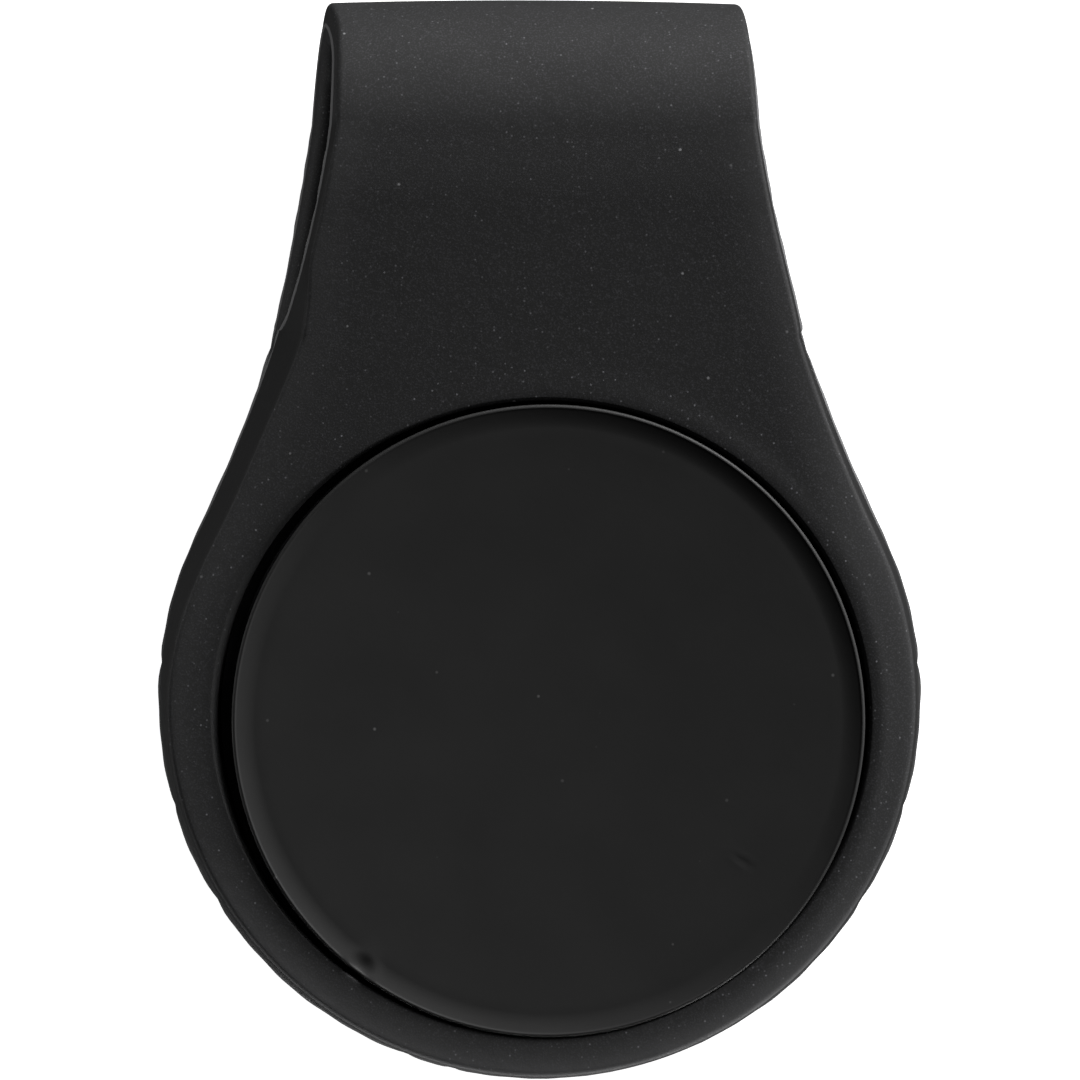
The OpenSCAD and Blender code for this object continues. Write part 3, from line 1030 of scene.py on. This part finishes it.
def silicone_material():
    """Matte black silicone: faint mottling, a dusty grain that is denser round the pocket, a few lint
    specks, and the places that the mesh marks paler or darker: flash with scuff marks and a painted
    highlight, painted sheen along the face's edge and painted shade on the walls. The left of the face is
    painted lighter, and a painted shadow lies beside the lip on the left."""
    n = Nodes("silicone", Specular_IOR_Level=0.3)
    cloud = n.noise(2.2, 3)
    grain = n.noise(0.07, 1)
    dust = n.ramp(n.noise(3.5, 3), 0.35, 0.65, 0, 0.5)
    base = n.mix(cloud, (0.0095, 0.0095, 0.0098), (0.0123, 0.0123, 0.0127))
    dusty = n.mix(n.ramp(grain, 0.5, 0.78, 0, 1), base, (0.033, 0.033, 0.036))
    dust = n.math("MAXIMUM", dust, n.ring(POCKET_R + 0.9, 1.6))
    fine = n.math("MULTIPLY", n.spots(0.24, 0.05, 0.4), n.ramp(dust, 0, 1, 0.18, 1))
    faint = n.mix(fine, dusty, (0.2, 0.2, 0.215))
    coarse = n.spots(1.1, 0.075, 0.3)
    lint = n.mix(n.math("MULTIPLY", coarse, 0.8), faint, (0.34, 0.34, 0.35))
    # Painted light: the left of the face is made paler towards its edge
    wear_and_painted_light = n.math("ADD", n.wear_and_painted_light(), n.ramp(n.across(), *LEFT_PAINTED_LIGHT_X, 0, LEFT_PAINTED_LIGHT))
    # Painted shade: the walls that the mesh marks below 0 are darkened
    painted_wall_shade = n.mix(n.ramp(wear_and_painted_light, 0, -1, 0, 1), lint, (0.002, 0.002, 0.002))
    # Pale: scuffed flash, painted highlight, painted sheen and painted light on the left
    pale = n.mix(n.ramp(wear_and_painted_light, 0, 1, 0, 1), painted_wall_shade, (0.115, 0.115, 0.117))
    # Painted shadow of the disc on the silicone beside the lip, on the left
    painted_lip_shadow = n.math("MULTIPLY", n.ring(POCKET_R + 0.1, 0.75), n.ramp(n.across(), -7, -11, 0, 0.8))
    n.colour(n.mix(painted_lip_shadow, pale, (0.003, 0.003, 0.003)))
    n.roughness(n.ramp(cloud, 0.3, 0.7, 0.7, 0.8))
    n.bump([(grain, 0.003), (n.noise(0.6, 3), 0.01)])
    return n.material


def coating_material():
    """Satin black powder coat: a very fine orange peel, a faint cloud in the gloss and a few dust nibs."""
    n = Nodes("coated_steel", Specular_IOR_Level=0.3)
    cloud = n.noise(3.0, 3)
    peel = n.noise(0.4, 2)
    nibs = n.spots(1.3, 0.085, 0.42)
    base = n.mix(cloud, (0.0174, 0.0174, 0.0174), (0.0187, 0.0186, 0.0185))
    n.colour(n.mix(n.math("MULTIPLY", nibs, 0.8), base, (0.16, 0.16, 0.16)))
    n.roughness(n.ramp(cloud, 0.3, 0.7, 0.55, 0.62))
    n.bump([(peel, 0.002), (n.noise(0.07, 1), 0.001)])
    return n.material


def plastic_material(name, dark, light):
    """Moulded plastic with a spark-eroded texture."""
    n = Nodes(name)
    cloud = n.noise(1.6, 3)
    texture = n.noise(0.09, 2)
    n.colour(n.mix(cloud, dark, light))
    n.roughness(n.ramp(texture, 0.3, 0.7, 0.42, 0.62))
    n.bump([(texture, 0.01)])
    return n.material


def plated_material(name, dark, light, rough, grain):
    """Plated or rolled metal: a cloudy tone, and a fine grain of the given size in the gloss."""
    n = Nodes(name, Metallic=1.0)
    cloud = n.noise(1.2, 4)
    texture = n.noise(grain, 3, 0.6)
    n.colour(n.mix(cloud, dark, light))
    n.roughness(n.ramp(texture, 0.3, 0.7, rough - 0.07, rough + 0.07))
    n.bump([(texture, 0.003)])
    return n.material


def drawn_material(name, dark, light, rough):
    """Spring steel with faint drawing lines."""
    n = Nodes(name, Metallic=1.0)
    lines = n.add("ShaderNodeTexWave", wave_type="RINGS", rings_direction="Z")
    lines.inputs["Scale"].default_value = 6.0
    lines.inputs["Distortion"].default_value = 1.5
    n.link(n.millimetres.outputs["Vector"], lines.inputs["Vector"])
    n.colour(n.mix(n.noise(0.8, 3), dark, light))
    n.roughness(n.ramp(lines.outputs["Fac"], 0, 1, rough - 0.05, rough + 0.08))
    n.bump([(lines.outputs["Fac"], 0.002)])
    return n.material


def foam_material(name, dark, light, cell):
    """Closed-cell foam or foam tape: small open cells at the cut face."""
    n = Nodes(name)
    cells = n.add("ShaderNodeTexVoronoi")
    cells.inputs["Scale"].default_value = 1 / cell
    n.link(n.millimetres.outputs["Vector"], cells.inputs["Vector"])
    pores = n.ramp(cells.outputs["Distance"], 0.1, 0.6, 0, 1)
    n.colour(n.mix(pores, dark, light))
    n.roughness(n.ramp(n.noise(0.5), 0.3, 0.7, 0.8, 0.95))
    n.bump([(pores, 0.03)])
    return n.material


def floor_material():
    """Pale, brightly lit studio surface that is seen from above only."""
    material = bpy.data.materials.new("floor")
    material.use_nodes = True
    tree = material.node_tree
    shader = tree.nodes["Principled BSDF"]
    shader.inputs["Base Color"].default_value = (0.82, 0.82, 0.82, 1)
    shader.inputs["Roughness"].default_value = 0.9
    shader.inputs["Emission Color"].default_value = (1, 1, 1, 1)
    shader.inputs["Emission Strength"].default_value = FLOOR_GLOW
    side = tree.nodes.new("ShaderNodeNewGeometry")
    clear = tree.nodes.new("ShaderNodeBsdfTransparent")
    choice = tree.nodes.new("ShaderNodeMixShader")
    tree.links.new(side.outputs["Backfacing"], choice.inputs[0])
    tree.links.new(shader.outputs["BSDF"], choice.inputs[1])
    tree.links.new(clear.outputs["BSDF"], choice.inputs[2])
    tree.links.new(choice.outputs["Shader"], tree.nodes["Material Output"].inputs["Surface"])
    return material


# ---- Studio ----

# The floor lies just under the clip. Its size is in metres.
FLOOR_SIZE = 3
FLOOR_DROP = 0.02
FLOOR_GLOW = 1.0
FILL_LIGHT = 0.02
# The camera looks down on the clip, tilted by these degrees, and sees this many millimetres
CAMERA_DISTANCE = 380.0
CAMERA_TILT_Y = 2.2
CAMERA_TILT_X = -1.4
CAMERA_ROLL = 0.15
VIEW_SPAN = 42.55
AIM = (-0.1, 7.06, TOP_Z)


def make_floor():
    """A floor just below the clip, which only the camera sees."""
    bpy.ops.mesh.primitive_plane_add(size=FLOOR_SIZE)
    floor = bpy.context.object
    floor.name = "floor"
    floor.data.materials.append(floor_material())
    floor.location.z = -FLOOR_DROP * MM
    floor.visible_glossy = False
    floor.visible_diffuse = False
    floor.visible_shadow = False


def make_camera():
    """Close-up camera, almost straight above, from a little beyond the fold and to the left."""
    data = bpy.data.cameras.new("camera")
    data.sensor_width = 36
    data.lens = 36 * CAMERA_DISTANCE / VIEW_SPAN
    data.clip_start = 0.01
    camera = bpy.data.objects.new("camera", data)
    bpy.context.scene.collection.objects.link(camera)
    tilt_x = math.tan(math.radians(CAMERA_TILT_X))
    tilt_y = math.tan(math.radians(CAMERA_TILT_Y))
    back = Vector((tilt_x, tilt_y, 1)).normalized()
    right = Vector((0, 1, 0)).cross(back).normalized()
    up = back.cross(right)
    roll = Matrix.Rotation(math.radians(CAMERA_ROLL), 4, "Z")
    turn = Matrix((right, up, back)).transposed().to_4x4() @ roll
    camera.matrix_world = Matrix.Translation((Vector(AIM) + back * CAMERA_DISTANCE) * MM) @ turn
    bpy.context.scene.camera = camera


def soft_light(name, azimuth, elevation, distance, width, height, power):
    """Rectangular soft box, aimed at the clip. Azimuth is measured from +X towards +Y, in degrees."""
    data = bpy.data.lights.new(name, "AREA")
    data.shape = "RECTANGLE"
    data.size = width * MM
    data.size_y = height * MM
    data.energy = power
    light = bpy.data.objects.new(name, data)
    bpy.context.scene.collection.objects.link(light)
    turn, rise = math.radians(azimuth), math.radians(elevation)
    away = Vector((math.cos(turn) * math.cos(rise), math.sin(turn) * math.cos(rise), math.sin(rise)))
    target = Vector((0, 6, 8)) * MM
    light.location = target + away * distance * MM
    light.rotation_euler = away.to_track_quat("Z", "Y").to_euler()
    light.visible_camera = False


def make_world(level):
    """White backdrop to the camera, and a faint even light to everything else."""
    world = bpy.data.worlds.new("studio")
    world.use_nodes = True
    tree = world.node_tree
    backdrop = tree.nodes["Background"]
    backdrop.inputs["Color"].default_value = (0.97, 0.98, 1, 1)
    rays = tree.nodes.new("ShaderNodeLightPath")
    seen = tree.nodes.new("ShaderNodeMapRange")
    seen.inputs["To Min"].default_value = level
    seen.inputs["To Max"].default_value = 1.0
    tree.links.new(rays.outputs["Is Camera Ray"], seen.inputs["Value"])
    tree.links.new(seen.outputs["Result"], backdrop.inputs["Strength"])
    bpy.context.scene.world = world


def make_studio():
    """Floor, camera, backdrop and lights. The key light is low, on the right beyond the fold."""
    scene = bpy.context.scene
    scene.view_settings.view_transform = "Standard"
    make_floor()
    make_camera()
    make_world(FILL_LIGHT)
    soft_light("key", azimuth=50, elevation=14, distance=500, width=300, height=100, power=4.6)
    soft_light("high_light", azimuth=55, elevation=30, distance=500, width=300, height=120, power=0.3)
    soft_light("fold_light", azimuth=90, elevation=6, distance=500, width=400, height=60, power=0.7)
    soft_light("right_light", azimuth=0, elevation=8, distance=500, width=340, height=80, power=1.1)
    soft_light("low_left", azimuth=180, elevation=-2, distance=110, width=90, height=10, power=0.045)
    soft_light("low_front", azimuth=280, elevation=-3, distance=110, width=120, height=10, power=0.2)
    soft_light("under_light", azimuth=0, elevation=-89, distance=500, width=100, height=100, power=0.9)


# ---- Assembly ----


def make_silicone(material):
    """Builds the strap as one welded skin, then cuts it into front leaf, fold and back leaf."""
    skin = Skin()
    front_band = add_front_leaf(skin)
    back_band = add_back_leaf(skin)
    add_fold(skin, front_band, back_band)
    names = ("silicone_front", "silicone_fold", "silicone_back")
    front, fold, back = split_skin(skin.welded(), names, material)
    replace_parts(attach(front, "front"), "front_clip")
    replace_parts(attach(back, "back"), "back_leaf")
    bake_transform(fold)
    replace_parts(fold, "strap_fold")


def finish_piece(piece, body, node):
    """Ties a piece to its body and to the CAD node that it stands in for."""
    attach(piece, body)
    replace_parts(piece, node)
    return piece


def dress_nodes(materials):
    """Gives each CAD node that stays its material, by the slot that the record names for it."""
    for part in frame["record"]["subparts"]:
        node = frame["nodes"][part["node"]]
        node.data.materials.clear()
        node.data.materials.append(materials[part["material_slot"]])


def main():
    """Dresses the CAD nodes, builds the detailed pieces and sets up the studio."""
    materials = {
        "silicone": silicone_material(),
        "coated_steel": coating_material(),
        "black_plastic": plastic_material("black_plastic", (0.018, 0.018, 0.02), (0.026, 0.026, 0.028)),
        "grey_plastic": plastic_material("grey_plastic", (0.1, 0.1, 0.11), (0.13, 0.13, 0.14)),
        "nylon": plastic_material("nylon", (0.62, 0.59, 0.5), (0.72, 0.69, 0.6)),
        "zinc_steel": plated_material("zinc_steel", (0.5, 0.51, 0.54), (0.62, 0.63, 0.64), 0.38, 0.2),
        "screw_steel": plated_material("screw_steel", (0.34, 0.34, 0.35), (0.46, 0.46, 0.47), 0.34, 0.1),
        "magnet": plated_material("magnet", (0.62, 0.6, 0.56), (0.74, 0.72, 0.69), 0.2, 0.3),
        "spring_steel": drawn_material("spring_steel", (0.5, 0.5, 0.51), (0.62, 0.62, 0.64), 0.27),
        "foam": foam_material("foam", (0.03, 0.03, 0.033), (0.06, 0.06, 0.065), 0.14),
        "tape": foam_material("tape", (0.5, 0.48, 0.42), (0.68, 0.66, 0.6), 0.1),
    }
    dress_nodes(materials)
    make_silicone(materials["silicone"])
    finish_piece(make_disc(materials["coated_steel"]), "button", "button_disc")
    finish_piece(make_rear_cover(materials["black_plastic"]), "back", "rear_cover")
    dome = finish_piece(make_dome(materials["spring_steel"]), "front", "click_dome")
    spring = finish_piece(make_spring(materials["spring_steel"]), "front", "return_spring")
    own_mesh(dome)
    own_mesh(spring)
    make_studio()


main()
